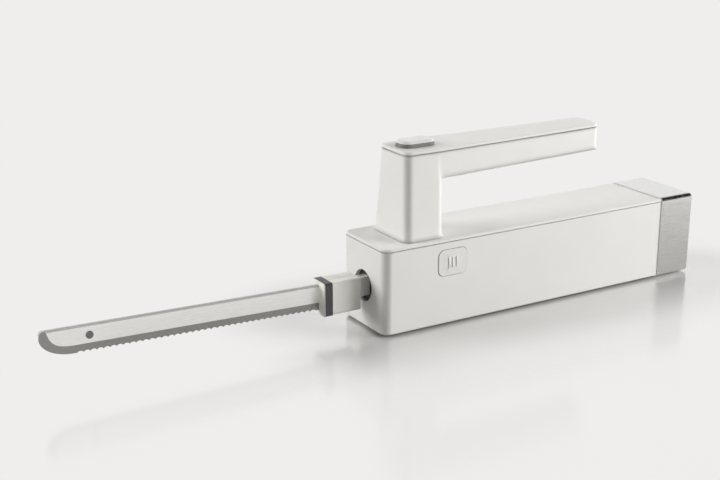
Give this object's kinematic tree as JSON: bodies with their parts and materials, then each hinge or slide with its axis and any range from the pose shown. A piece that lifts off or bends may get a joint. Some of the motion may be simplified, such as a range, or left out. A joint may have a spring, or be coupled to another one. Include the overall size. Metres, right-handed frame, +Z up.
{
  "type": "electric carving knife",
  "caption": "Electric carving knife that stands on its base: long box housing with a raised handle, trigger, steel rear cap and twin saw blades that draw out.",
  "frame": {"origin": "on the table, under the middle of the housing's length and width", "axes": "+X runs to the housing's rear, so the blades point along -X; -Y is the left side; +Z is up"},
  "size_m": [0.4757, 0.0534, 0.1202],
  "materials": {
    "shell_plastic": "smooth warm off-white with a soft gloss",
    "button_plastic": "smooth off-white with a soft gloss",
    "cap_steel": "brushed sheet round the cap",
    "dark_plastic": "fine matt grain",
    "collar_plastic": "dark grey, satin",
    "shank_plastic": "smooth warm grey-white",
    "blade_steel": "fine grind along the blade",
    "rivet_steel": "burnished dark",
    "rubber": "matt",
    "screw_steel": "bright plated",
    "spring_steel": "drawn wire and strip",
    "shaft_steel": "ground",
    "gear_plastic": "natural acetal",
    "insulator_plastic": "dark brown moulding",
    "lead_insulation": "smooth",
    "bearing_bronze": "sintered",
    "frame_aluminium": "die cast",
    "stack_steel": "stacked sheets",
    "winding_copper": "enamelled copper",
    "brush_carbon": "pressed graphite",
    "fan_plastic": "matt moulding"
  },
  "bodies": {
    "housing": {"main_housing": "shell_plastic", "top_cover": "shell_plastic", "base_plate": "dark_plastic", "base_feet": "rubber", "housing_screws": "screw_steel", "rear_cap": "cap_steel", "rear_cover": "dark_plastic", "rear_cover_screws": "screw_steel", "cord_gland": "rubber", "terminal_block": "insulator_plastic", "handle_shell": "shell_plastic", "handle_cover": "shell_plastic", "handle_screws": "screw_steel", "lock_spring": "spring_steel", "trigger_pin": "shaft_steel", "trigger_spring": "spring_steel", "microswitch": "insulator_plastic", "switch_leads": "lead_insulation", "blade_guide": "insulator_plastic", "left_release_spring": "spring_steel", "right_release_spring": "spring_steel", "gear_frame": "frame_aluminium", "gear_bushes": "bearing_bronze", "nose_bearing": "bearing_bronze", "front_bearing": "bearing_bronze", "rear_bearing": "bearing_bronze", "front_bracket": "frame_aluminium", "rear_bracket": "frame_aluminium", "motor_screws": "screw_steel", "stator_core": "stack_steel", "upper_field_coil": "winding_copper", "lower_field_coil": "winding_copper", "brush_holders": "insulator_plastic", "carbon_brushes": "brush_carbon", "brush_springs": "spring_steel"},
    "armature": {"armature_shaft": "shaft_steel", "worm": "shaft_steel", "armature_core": "stack_steel", "armature_windings": "winding_copper", "commutator": "winding_copper", "cooling_fan": "fan_plastic"},
    "wheel": {"drive_gear": "gear_plastic", "gear_shaft": "shaft_steel", "left_crank": "shaft_steel", "right_crank": "shaft_steel"},
    "left_carriage": {"left_carrier": "gear_plastic", "left_latch_leaf": "spring_steel"},
    "right_carriage": {"right_carrier": "gear_plastic", "right_latch_leaf": "spring_steel"},
    "left_blade_set": {"left_blade": "blade_steel", "left_blade_shank": "shank_plastic", "left_collar": "collar_plastic", "tip_rivet": "rivet_steel"},
    "right_blade_set": {"right_blade": "blade_steel", "right_blade_shank": "shank_plastic", "right_collar": "collar_plastic"},
    "trigger_body": {"trigger": "button_plastic"},
    "lock_body": {"lock_button": "button_plastic"},
    "left_release": {"left_release_button": "button_plastic"},
    "right_release": {"right_release_button": "button_plastic"}
  },
  "joints": [
    {"name": "armature_spin", "type": "hinge", "parent": "housing", "child": "armature", "pos_m": [0, 0, 0.033], "axis": [1, 0, 0], "continuous": true},
    {"name": "wheel_spin", "type": "hinge", "parent": "housing", "child": "wheel", "pos_m": [-0.05, 0, 0.019], "axis": [0, 1, 0], "continuous": true},
    {"name": "left_stroke", "type": "slide", "parent": "housing", "child": "left_carriage", "axis": [1, 0, 0], "range_m": [-0.004, 0.004]},
    {"name": "right_stroke", "type": "slide", "parent": "housing", "child": "right_carriage", "axis": [1, 0, 0], "range_m": [-0.004, 0.004]},
    {"name": "left_draw", "type": "slide", "parent": "left_carriage", "child": "left_blade_set", "axis": [-1, 0, 0], "range_m": [0, 0.05]},
    {"name": "right_draw", "type": "slide", "parent": "right_carriage", "child": "right_blade_set", "axis": [-1, 0, 0], "range_m": [0, 0.05]},
    {"name": "trigger_pull", "type": "hinge", "parent": "housing", "child": "trigger_body", "pos_m": [-0.046, 0, 0.1004], "axis": [0, 1, 0], "range_deg": [0, 4.8], "stiffness_Nm_per_rad": 0.3, "springref_deg": -5.73, "deforming": ["trigger_spring"]},
    {"name": "lock_press", "type": "slide", "parent": "housing", "child": "lock_body", "axis": [0, 0, -1], "range_m": [0, 0.0025], "stiffness_N_per_m": 400, "springref_m": -0.002, "deforming": ["lock_spring"]},
    {"name": "left_release_press", "type": "slide", "parent": "housing", "child": "left_release", "axis": [0, 1, 0], "range_m": [0, 0.003], "stiffness_N_per_m": 400, "springref_m": -0.002, "deforming": ["left_release_spring"]},
    {"name": "right_release_press", "type": "slide", "parent": "housing", "child": "right_release", "axis": [0, -1, 0], "range_m": [0, 0.003], "stiffness_N_per_m": 400, "springref_m": -0.002, "deforming": ["right_release_spring"]}
  ],
  "couplings": [
    {"joint": "wheel_spin", "follows": "armature_spin", "ratio": -0.1},
    {"joint": "right_stroke", "follows": "left_stroke", "ratio": -1},
    {"joint": "right_draw", "follows": "left_draw", "ratio": 1}
  ]
}
